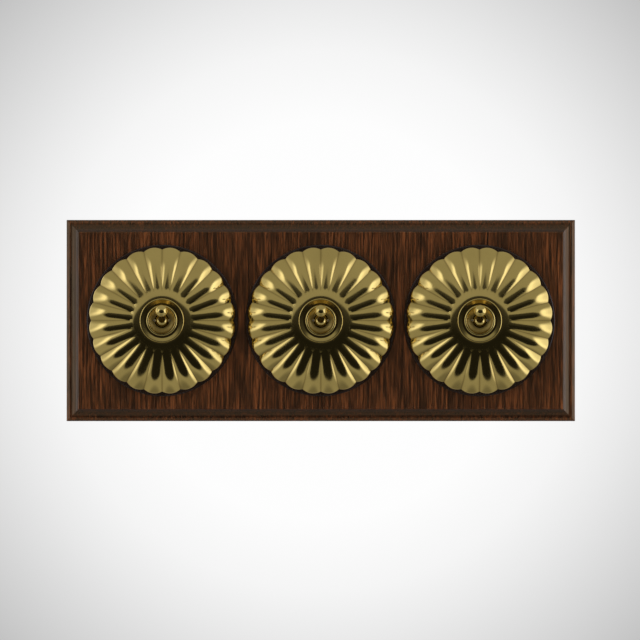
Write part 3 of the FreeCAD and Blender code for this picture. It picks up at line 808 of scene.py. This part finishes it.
@dataclass
class FlutedCover:
    """The domed brass cover: convex flutes that meet in sharp valleys, round a plain boss."""

    gang: Gang
    crest_radius: float = 33.1 * MM
    edge_width: float = 0.6 * MM
    shoulder_radius: float = 24.0 * MM
    land_radius: float = 14.2 * MM
    crown_foot: float = 15.2 * MM
    crown_radius: float = 10.7 * MM
    hole_radius: float = 7.2 * MM
    crown_rise: float = 0.95 * MM
    wall: float = 0.9 * MM
    flute_depth: float = 1.1 * MM
    flute_start: float = 11.0 * MM
    land_angle: float = 9.0
    shoulder_angle: float = 15.0
    edge_angle: float = 40.0
    crown_edge_angle: float = 12.0
    crown_foot_angle: float = 28.0
    flutes: int = 24
    steps_per_flute: int = 14
    skirt_shares: Pair = (0.5, 1.0)
    edge_steps: int = 7
    shoulder_steps: int = 16
    crown_steps: int = 7
    boss_steps: int = 8
    halvings: int = 40
    valley_line: float = 0.999
    valley_sharpness: int = 6
    crease: float = 17.0

    def arcs(self) -> list[CrestArc]:
        """The crests' line over the skirt.

        Returns:
            The edge, the shoulder and the crown, each tangent to the next.
        """
        low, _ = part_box(self.gang.node("dome_cover"))
        level = -low.y - self.crown_rise
        ends = [
            (self.land_radius, math.radians(self.land_angle)),
            (self.shoulder_radius, math.radians(self.shoulder_angle)),
            (self.crest_radius - self.edge_width, math.radians(self.edge_angle)),
            (self.crest_radius, QUARTER_TURN),
        ]
        found = []
        for inner, outer in zip(ends, ends[1:]):
            arc = CrestArc.between(inner, outer, level)
            level = arc.height + arc.bend * math.cos(arc.steep_slope)
            found.append(arc)
        return found[::-1]

    def boss(self) -> CrestArc:
        """The round side of the boss in the middle.

        Returns:
            Its arc, from the crown's edge down to its foot.
        """
        low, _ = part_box(self.gang.node("dome_cover"))
        inner = (self.crown_radius, math.radians(self.crown_edge_angle))
        outer = (self.crown_foot, math.radians(self.crown_foot_angle))
        return CrestArc.between(inner, outer, -low.y)

    def depth(self, radius: float) -> float:
        """How deep the valleys are at a radius; they fade out towards the middle."""
        faded = min((self.crest_radius - radius) / (self.crest_radius - self.flute_start), 1.0)
        return self.flute_depth * (1.0 - faded ** 2)

    def meeting(self, crown: CrestArc, share: float) -> float:
        """Find where the flutes run into the boss.

        Args:
            crown: the flattest arc of the crests.
            share: 0 on a crest and 1 in a valley.

        Returns:
            The radius of the meeting.
        """
        boss = self.boss()
        near, far = self.crown_radius, self.crown_foot
        for _ in range(self.halvings):
            middle = (near + far) / 2.0
            if boss.level(middle) > crown.level(middle, self.depth(middle) * share):
                near = middle
            else:
                far = middle
        return near

    def section(self) -> Turning:
        """The crests' own line, from the rim up to the boss and in to the hole.

        Returns:
            The section, not yet spun.
        """
        low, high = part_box(self.gang.node("dome_cover"))
        edge, shoulder, crown = self.arcs()
        boss = self.boss()
        junction = self.meeting(crown, 0.0)
        turning = Turning([(self.crest_radius, -high.y)], closed=False)
        for share in self.skirt_shares:
            turning.line_to(self.crest_radius, -high.y + (edge.height + high.y) * share)
        for arc, turn, steps in (
            (edge, edge.steep_slope - edge.flat_slope, self.edge_steps),
            (shoulder, shoulder.steep_slope - shoulder.flat_slope, self.shoulder_steps),
            (crown, crown.steep_slope - crown.slope(junction), self.crown_steps),
            (boss, boss.slope(junction) - boss.flat_slope, self.boss_steps),
        ):
            turning.arc_about(arc.across, arc.height, turn, steps)
        turning.line_to(self.hole_radius, -low.y)
        return turning

    def mark_flutes(self, turning: Turning) -> None:
        """Write on each vertex of the section how a valley moves it: inwards and down.

        Args:
            turning: the section, not yet spun.
        """
        inwards = turning.bm.verts.layers.float.new("inwards")
        down = turning.bm.verts.layers.float.new("down")
        crown = self.arcs()[-1]
        junction, valley_end = (self.meeting(crown, share) for share in (0.0, 1.0))
        path = turning.walk()
        for number, vert in enumerate(path):
            radius = vert.co.x
            if radius < junction - CLEAR_DISTANCE:
                continue
            if radius < junction + CLEAR_DISTANCE:
                vert[inwards] = junction - valley_end
                vert[down] = vert.co.z - self.boss().level(valley_end)
                continue
            run = (path[number + 1].co - vert.co).normalized()
            if number > 0:
                run = (run + (vert.co - path[number - 1].co).normalized()).normalized()
            vert[inwards] = self.depth(radius) * run.z
            vert[down] = -self.depth(radius) * run.x

    def press_flutes(self, turning: Turning) -> None:
        """Press the valleys in, deepest at each valley line, and paint shade along the valley lines.

        Args:
            turning: the spun form, with the marks of its section.
        """
        inwards = turning.bm.verts.layers.float["inwards"]
        down = turning.bm.verts.layers.float["down"]
        valley = turning.bm.verts.layers.float.new(Mark.PAINTED_SHADE.value)
        for vert in turning.bm.verts:
            radius = math.hypot(vert.co.x, vert.co.y)
            phase = math.atan2(vert.co.y, vert.co.x) / (2.0 * math.pi) * self.flutes
            share = (2.0 * (phase % 1.0) - 1.0) ** 2
            if share > self.valley_line:
                share = 1.0
            scale = (radius - vert[inwards] * share) / radius
            # painted shade along each valley line, fading across the flute
            if vert[inwards] > 0.0 or vert[down] > 0.0:
                vert[valley] = share ** self.valley_sharpness
            vert.co = Vector((vert.co.x * scale, vert.co.y * scale, vert.co.z - vert[down] * share))

    def build(self, shelf: Shelf) -> None:
        """Build, place and dress the cover.

        Args:
            shelf: the finishes.
        """
        turning = self.section()
        self.mark_flutes(turning)
        turning.spin(self.flutes * self.steps_per_flute)
        self.press_flutes(turning)
        piece = turning.piece(self.gang.node("fluted_cover"), gang_place(self.gang), self.crease)
        metal = piece.modifiers.new("cover_wall", "SOLIDIFY")
        metal.thickness = self.wall
        metal.offset = -1.0
        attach(piece, "plinth")
        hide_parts(self.gang.node("dome_cover"))
        shelf.dress(piece, Slot.BRASS)
        log.info("built %s with %d flutes", piece.name, self.flutes)


@dataclass
class CoverRing:
    """The ring nut that clamps the cover: a polished cone with a round lip, and a floor at the bush darkened
    with painted shade.

    Each round is a radius and a number of steps, at a corner of the section.
    """

    gang: Gang
    inner_radius: float = 7.05 * MM
    floor_radius: float = 7.9 * MM
    outer_radius: float = 9.95 * MM
    lip: float = 0.55 * MM
    slope: float = 15.0
    lip_round: tuple[float, int] = (0.44 * MM, 6)
    rim_round: tuple[float, int] = (0.0825 * MM, 3)
    floor_round: tuple[float, int] = (0.3 * MM, 5)
    painted_floor_shade: float = 1.8
    steps: int = 128
    crease: float = 25.0

    LIP_CORNER: ClassVar[int] = 2
    RIM_CORNER: ClassVar[int] = 3
    FLOOR_CORNER: ClassVar[int] = 4

    def build(self, shelf: Shelf) -> None:
        """Build, place and dress the ring.

        Args:
            shelf: the finishes.
        """
        low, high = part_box(self.gang.node("cover_ring"))
        seat = -high.y
        top = -low.y
        rim = self.outer_radius - self.lip
        floor = top - (rim - self.floor_radius) * math.tan(math.radians(self.slope))
        turning = Turning(
            [
                (self.inner_radius, seat),
                (self.outer_radius, seat),
                (self.outer_radius, top),
                (rim, top),
                (self.floor_radius, floor),
                (self.inner_radius, floor),
            ],
            closed=True,
        )
        turning.round_corners({
            self.LIP_CORNER: self.lip_round,
            self.RIM_CORNER: self.rim_round,
            self.FLOOR_CORNER: self.floor_round,
        })
        turning.spin(self.steps)
        valley = turning.bm.verts.layers.float.new(Mark.PAINTED_SHADE.value)
        # painted shade on the floor at the bush
        for vert in turning.bm.verts:
            if math.hypot(vert.co.x, vert.co.y) < self.floor_radius:
                vert[valley] = self.painted_floor_shade
        piece = turning.piece(self.gang.node("ring_nut"), gang_place(self.gang), self.crease)
        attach(piece, "plinth")
        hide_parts(self.gang.node("cover_ring"))
        shelf.dress(piece, Slot.BRASS)
        log.info("built %s", piece.name)


@dataclass
class PlungerSpring:
    """The coil spring in the dolly's tail, which shortens as the plunger is pushed in."""

    gang: Gang
    lean: float = 18.0
    seat: float = 2.2 * MM
    length: float = 2.37 * MM
    travel: float = 0.6 * MM

    def build(self, shelf: Shelf) -> None:
        """Build and dress the spring.

        Args:
            shelf: the finishes.
        """
        node = self.gang.node("plunger_spring")
        piece = new_object(self.gang.node("coil"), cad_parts[node].data.copy())
        shade_smooth(piece)
        low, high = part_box(self.gang.node("pivot_pin"))
        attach(piece, self.gang.node("dolly"))
        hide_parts(node)
        self.gang.node("plunger_slide")
        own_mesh(piece)
        shelf.dress(piece, Slot.STEEL)
        log.info("built %s", piece.name)


@dataclass
class Switch:
    """One whole switch of the row."""

    gang: Gang
    packed: tuple[tuple[str, Slot], ...] = (
        ("base", Slot.BLACK_MOULDING),
        ("nose_bush", Slot.BRASS),
        ("dolly", Slot.BRASS),
        ("pivot_pin", Slot.STEEL),
        ("plunger", Slot.NYLON),
        ("rocker", Slot.BRASS),
        ("mechanism_body", Slot.BROWN_MOULDING),
        ("bridge_plate", Slot.STEEL),
        ("upper_contact", Slot.BRASS),
        ("lower_contact", Slot.BRASS),
        ("common_contact", Slot.BRASS),
        ("terminal_screws", Slot.BRASS),
        ("bridge_screws", Slot.STEEL),
        ("base_screws", Slot.STEEL),
    )
    dish_radius: float = 5.7 * MM
    dish_painted_shade: float = 0.7
    wall_radius: float = 6.9 * MM
    wall_painted_shade: float = 1.8
    neck: Pair = (3.0 * MM, 13.7 * MM)
    neck_painted_shade: float = 1.5

    def build(self, shelf: Shelf) -> None:
        """Build the new pieces of the switch and dress its packed ones.

        Args:
            shelf: the finishes.
        """
        FlutedCover(self.gang).build(shelf)
        CoverRing(self.gang).build(shelf)
        PlungerSpring(self.gang).build(shelf)
        for name, slot in self.packed:
            keep_packed(self.gang.node(name), slot, shelf)
        self.mark_nose()
        self.mark_neck()

    def mark_nose(self) -> None:
        """Mark the nose bush's dish as satin with a little painted shade, and paint heavy shade on its
        upright outside.
        """
        place = gang_place(self.gang).inverted()
        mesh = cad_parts[self.gang.node("nose_bush")].data
        for mark in Mark:
            mesh.attributes.new(mark.value, "FLOAT", "POINT")
        valley, satin = (mesh.attributes[mark.value].data for mark in Mark)
        for vert, soft, darkening in zip(mesh.vertices, satin, valley):
            across = place @ vert.co
            radius = math.hypot(across.x, across.y)
            soft.value = 1.0 if radius < self.dish_radius else 0.0
            # painted shade on the dish and, heavier, on the upright outside
            darkening.value = self.dish_painted_shade * soft.value
            if radius > self.wall_radius:
                darkening.value = self.wall_painted_shade

    def mark_neck(self) -> None:
        """Paint shade on the dolly's neck and the back of its ball."""
        low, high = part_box(self.gang.node("pivot_pin"))
        pivot = (low + high) / 2.0
        near, far = self.neck
        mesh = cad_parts[self.gang.node("dolly")].data
        valley = mesh.attributes.new(Mark.PAINTED_SHADE.value, "FLOAT", "POINT")
        for vert, darkening in zip(mesh.vertices, valley.data):
            # painted shade on the neck and the back of the ball
            darkening.value = self.neck_painted_shade if near < (vert.co - pivot).length < far else 0.0


@dataclass
class Plinth:
    """The hardwood plinth that carries the row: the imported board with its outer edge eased."""

    node: str = "plinth"
    reach: Pair = (115.0 * MM, 45.5 * MM)
    ledge: float = 14.8 * MM
    ease_width: float = 1.38 * MM
    ease_depth: float = 0.8 * MM
    ease_round: float = 0.3 * MM
    round_steps: int = 3
    cove: Pair = (1.6 * MM, 5.2 * MM)
    flat_angle: float = 0.1
    crease: float = 20.0

    def build(self, shelf: Shelf) -> None:
        """Build and dress the plinth.

        Args:
            shelf: the finishes.
        """
        bm = bmesh.new()
        bm.from_mesh(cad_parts[self.node].data)
        bmesh.ops.remove_doubles(bm, verts=bm.verts, dist=MERGE_DISTANCE)
        bmesh.ops.dissolve_limit(
            bm, angle_limit=math.radians(self.flat_angle), verts=bm.verts, edges=bm.edges)
        self.ease(bm)
        bmesh.ops.recalc_face_normals(bm, faces=bm.faces)
        for face in bm.faces:
            face.smooth = True
        mesh = new_mesh("coved_board", bm)
        self.mark_cove(mesh)
        piece = new_object("coved_board", mesh)
        split = piece.modifiers.new("real_edges", "EDGE_SPLIT")
        split.split_angle = math.radians(self.crease)
        piece.modifiers.new("flat_faces", "WEIGHTED_NORMAL")
        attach(piece, self.node)
        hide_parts(self.node)
        shelf.dress(piece, Slot.WOOD)
        log.info("built %s", piece.name)

    def ease(self, bm: bmesh.types.BMesh) -> None:
        """Take the edge off the ledge all round: a low slope with a round foot.

        Args:
            bm: the board, changed in place.
        """
        self.bevel_rim(bm, depth=0.0, width=self.ease_width, steps=1)
        foot = [vert for vert in bm.verts if self.on_rim(vert, self.ease_width)]
        bmesh.ops.translate(bm, verts=foot, vec=(0.0, self.ease_depth - self.ease_width, 0.0))
        self.bevel_rim(bm, depth=self.ease_depth, width=self.ease_round, steps=self.round_steps)

    def bevel_rim(self, bm: bmesh.types.BMesh, depth: float, width: float, steps: int) -> None:
        """Bevel the edges that run round the outer sides at one depth.

        Args:
            bm: the board, changed in place.
            depth: how far behind the ledge the edges lie.
            width: how wide the bevel is on each side.
            steps: the number of steps.
        """
        edges = [edge for edge in bm.edges if all(self.on_rim(vert, depth) for vert in edge.verts)]
        bmesh.ops.bevel(
            bm, geom=edges, offset=width, segments=steps, profile=0.5, affect="EDGES", material=-1)

    def inwards(self, place: Vector) -> float:
        """How far a place lies in from the nearest outer side of the board."""
        return min(self.reach[0] - abs(place.x), self.reach[1] - abs(place.z))

    def on_rim(self, vert: bmesh.types.BMVert, depth: float) -> bool:
        """Whether a vertex lies on the outer sides, at a depth behind the ledge."""
        level = abs(vert.co.y + self.ledge - depth)
        return self.inwards(vert.co) < TOUCH_DISTANCE and level < TOUCH_DISTANCE

    def mark_cove(self, mesh: bpy.types.Mesh) -> None:
        """Paint shade into the cove.

        Args:
            mesh: the board's mesh, which gets the attribute.
        """
        near, far = self.cove
        valley = mesh.attributes.new(Mark.PAINTED_SHADE.value, "FLOAT", "POINT")
        # painted shade on the raised part of the cove
        for vert, painted_shade in zip(mesh.vertices, valley.data):
            raised = vert.co.y < -self.ledge - CLEAR_DISTANCE
            painted_shade.value = 1.0 if raised and near < self.inwards(vert.co) < far else 0.0


@dataclass(frozen=True)
class SoftBox:
    """One bright patch of the surroundings that the metal shows, at the right or at the left.

    All its places are cosines: near and far say how far to the side it starts and is full, the others at
    which heights it fades. It may lean inwards at the top, and past its full width its far end may be dimmer.
    """

    side: float
    strength: float
    near: float
    far: float
    bottom: float
    low: float
    high: float
    top: float
    lean: float
    far_loss: float
    full_width: float = 0.03


@dataclass
class Studio:
    """A pale backdrop, plain soft light and the camera, straight in front of the plinth.

    The limits of the surroundings are cosines, and their levels are brightnesses.
    """

    picture_width: float = 289.5 * MM
    camera_shift: Pair = (-0.36 * MM, 0.25 * MM)
    lens: float = 600.0
    sensor: float = 36.0
    clip_share: float = 3.0
    ledge_share: float = 0.74
    backdrop_half: float = 1.5
    backdrop_gap: float = 2.0 * MM
    backdrop_fade: float = 0.25
    fill_level: float = 0.85
    fill_size: float = 2.6
    fill_distance: float = 3.0

    RIGHT_BOX: ClassVar[SoftBox] = SoftBox(
        side=1.0, strength=1.10, near=0.74, far=0.84, bottom=-0.62, low=-0.25, high=0.26, top=0.60,
        lean=0.12, far_loss=0.40)
    LEFT_BOX: ClassVar[SoftBox] = SoftBox(
        side=-1.0, strength=0.98, near=0.70, far=0.83, bottom=-0.52, low=0.08, high=0.34, top=0.66,
        lean=0.35, far_loss=0.75)
    BOX_TINT: ClassVar[Colour] = (0.98, 1.0, 1.2)
    OVAL_MIDDLE: ClassVar[Pair] = (0.04, -0.18)
    OVAL_REACH: ClassVar[Pair] = (0.745, 0.56)
    OVAL_LIMITS: ClassVar[Pair] = (1.14, 0.86)
    MIDDLE_LIMITS: ClassVar[Pair] = (0.877998, 0.92)
    FRONT_LIMITS: ClassVar[Pair] = (0.0, 0.2)
    PALE_LEVEL: ClassVar[float] = 0.31
    FLOOR_LIMITS: ClassVar[Pair] = (-0.82, -0.97)
    FLOOR_LOSS: ClassVar[Pair] = (0.0, 0.14)
    DIM_LIMITS: ClassVar[Pair] = (-0.3, 0.35)
    DIM_LEVELS: ClassVar[Pair] = (0.012, 0.05)
    SHOWN_COLOUR: ClassVar[Colour] = (0.9, 0.9, 0.9)
    BACKDROP_TONES: ClassVar[tuple[Pair, ...]] = (
        (0.0, 1.0), (0.36, 0.985), (0.49, 0.915), (0.58, 0.823), (0.82, 0.546), (1.0, 0.42))

    def build(self) -> None:
        """Build everything that isn't part of the object."""
        self.hang_backdrop()
        self.set_surroundings()
        self.set_fill()
        self.set_camera()

    def front(self) -> Triple:
        """The middle of the plinth's ledge, which fills the picture's width."""
        low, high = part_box("plinth")
        return (low.x + high.x) / 2.0, (low.y - high.y) * self.ledge_share, (low.z + high.z) / 2.0

    def hang_backdrop(self) -> None:
        """Hang the backdrop behind the plinth; it neither lights the object nor shows in the metal."""
        x, _, z = self.front()
        bm = bmesh.new()
        bmesh.ops.create_grid(bm, x_segments=1, y_segments=1, size=self.backdrop_half)
        turn = Matrix.Translation((x, self.backdrop_gap, z)) @ Matrix.Rotation(QUARTER_TURN, 4, "X")
        bmesh.ops.transform(bm, matrix=turn, verts=bm.verts)
        obj = new_object("backdrop", new_mesh("backdrop", bm))
        obj.data.materials.append(self.backdrop_finish())
        obj.visible_diffuse = False
        obj.visible_glossy = False
        obj.visible_shadow = False
        log.info("hung the backdrop")

    def backdrop_finish(self) -> bpy.types.Material:
        """A pale tone that darkens softly away from the middle and is clear from behind.

        Returns:
            The finished material.
        """
        material = bpy.data.materials.new("pale_backdrop")
        material.use_nodes = True
        tree = Tree(material.node_tree)
        material.node_tree.nodes.remove(material.node_tree.nodes["Principled BSDF"])
        place = tree.add("ShaderNodeTexCoord").outputs["Object"]
        level = tree.stretched(place, (1.0, 0.0, 1.0))
        reach = tree.add("ShaderNodeVectorMath", {0: level}, operation="LENGTH").outputs["Value"]
        stops = [(share, (grey, grey, grey)) for share, grey in self.BACKDROP_TONES]
        tone = tree.ramp(tree.combine("DIVIDE", reach, self.backdrop_fade), stops)
        glow = tree.add("ShaderNodeEmission", {"Color": tone, "Strength": 1.0})
        clear = tree.add("ShaderNodeBsdfTransparent")
        back = tree.add("ShaderNodeNewGeometry").outputs["Backfacing"]
        seen = tree.add("ShaderNodeMixShader", {0: back, 1: glow.outputs[0], 2: clear.outputs[0]})
        tree.feed(material.node_tree.nodes["Material Output"].inputs["Surface"], seen.outputs[0])
        return material

    def set_surroundings(self) -> None:
        """Set the room around the object: pale, dim in front, with a bright box at each side."""
        world = bpy.data.worlds.new("studio")
        world.use_nodes = True
        bpy.context.scene.world = world
        tree = Tree(world.node_tree)
        ground = world.node_tree.nodes["Background"]
        way = tree.add("ShaderNodeSeparateXYZ", {0: tree.add("ShaderNodeTexCoord").outputs["Generated"]})
        across, depth, height = way.outputs["X"], way.outputs["Y"], way.outputs["Z"]
        room = self.room_level(tree, across, tree.times(depth, -1.0), height)
        boxes = (self.RIGHT_BOX, self.LEFT_BOX)
        light = tree.plus(*(self.box_level(tree, box, across, height) for box in boxes))
        sums = [tree.plus(room, tree.times(light, tint)) for tint in self.BOX_TINT]
        lit = tree.add("ShaderNodeCombineColor", dict(enumerate(sums))).outputs[0]
        path = tree.add("ShaderNodeLightPath")
        shown = tree.combine("MAXIMUM", path.outputs["Is Camera Ray"], path.outputs["Is Transmission Ray"])
        tree.feed(ground.inputs["Color"], tree.mixed(shown, lit, opaque(self.SHOWN_COLOUR)))
        ground.inputs["Strength"].default_value = 1.0
        log.info("set the surroundings")

    def room_level(self, tree: Tree, across: Socket, facing: Socket, height: Socket) -> Socket:
        """How bright the plain room is in each direction: pale, with a dark oval in front.

        Args:
            tree: the world's tree.
            across: 1 to the right, -1 to the left.
            facing: 1 towards the camera, -1 into the wall.
            height: 1 straight up, -1 straight down.

        Returns:
            The brightness.
        """
        oval = [
            tree.combine("DIVIDE", tree.minus(value, middle), reach)
            for value, middle, reach in zip((across, height), self.OVAL_MIDDLE, self.OVAL_REACH)
        ]
        away = tree.plus(*(tree.times(value, value) for value in oval))
        middle = tree.remap(facing, self.MIDDLE_LIMITS)
        dark = tree.combine("MAXIMUM", tree.remap(away, self.OVAL_LIMITS), middle)
        dark = tree.times(dark, tree.remap(facing, self.FRONT_LIMITS))
        pale = tree.minus(self.PALE_LEVEL, tree.remap(height, self.FLOOR_LIMITS, self.FLOOR_LOSS))
        dim = tree.remap(height, self.DIM_LIMITS, self.DIM_LEVELS)
        return tree.plus(tree.times(pale, tree.minus(1.0, dark)), tree.times(dim, dark))

    @staticmethod
    def box_level(tree: Tree, box: SoftBox, across: Socket, height: Socket) -> Socket:
        """How bright one soft box is in each direction.

        Args:
            tree: the world's tree.
            box: the soft box.
            across: 1 to the right, -1 to the left.
            height: 1 straight up, -1 straight down.

        Returns:
            The brightness.
        """
        out = tree.plus(tree.times(across, box.side), tree.times(height, box.lean))
        level = tree.minus(1.0, tree.remap(out, (box.far + box.full_width, 1.0), (0.0, box.far_loss)))
        masks = (
            tree.remap(out, (box.near, box.far)),
            tree.remap(height, (box.bottom, box.low)),
            tree.remap(height, (box.top, box.high)),
        )
        for mask in masks:
            level = tree.times(level, mask)
        return tree.times(level, box.strength)

    def set_fill(self) -> None:
        """Set a broad fill lamp in front, for the colours; the metal doesn't show it."""
        x, y, z = self.front()
        lamp = bpy.data.lights.new("front_fill", "AREA")
        lamp.shape = "DISK"
        lamp.size = self.fill_size
        half = self.fill_size / 2.0
        share = half ** 2 / (half ** 2 + self.fill_distance ** 2)
        lamp.energy = self.fill_level / share * math.pi ** 2 * half ** 2
        obj = new_object("front_fill", lamp)
        obj.location = (x, y - self.fill_distance, z)
        obj.rotation_euler = (QUARTER_TURN, 0.0, 0.0)
        obj.visible_camera = False
        obj.visible_glossy = False
        log.info("set the front fill")

    def set_camera(self) -> None:
        """Set the camera straight in front, so far off that the picture is nearly flat."""
        x, y, z = self.front()
        camera = bpy.data.cameras.new("camera")
        camera.lens = self.lens
        camera.sensor_width = self.sensor
        distance = self.picture_width * self.lens / self.sensor
        camera.clip_end = distance * self.clip_share
        obj = new_object("camera", camera)
        obj.location = (x + self.camera_shift[0], y - distance, z + self.camera_shift[1])
        obj.rotation_euler = (QUARTER_TURN, 0.0, 0.0)
        bpy.context.scene.camera = obj
        log.info("set the camera %.2f m in front", distance)


def main() -> None:
    """Build the object and its studio."""
    logging.basicConfig(level=logging.INFO, format="%(name)s: %(message)s")
    bpy.context.scene.view_settings.view_transform = "Standard"
    shelf = Shelf()
    Plinth().build(shelf)
    for gang in Gang:
        Switch(gang).build(shelf)
    Studio().build()


if __name__ == "__main__":
    main()
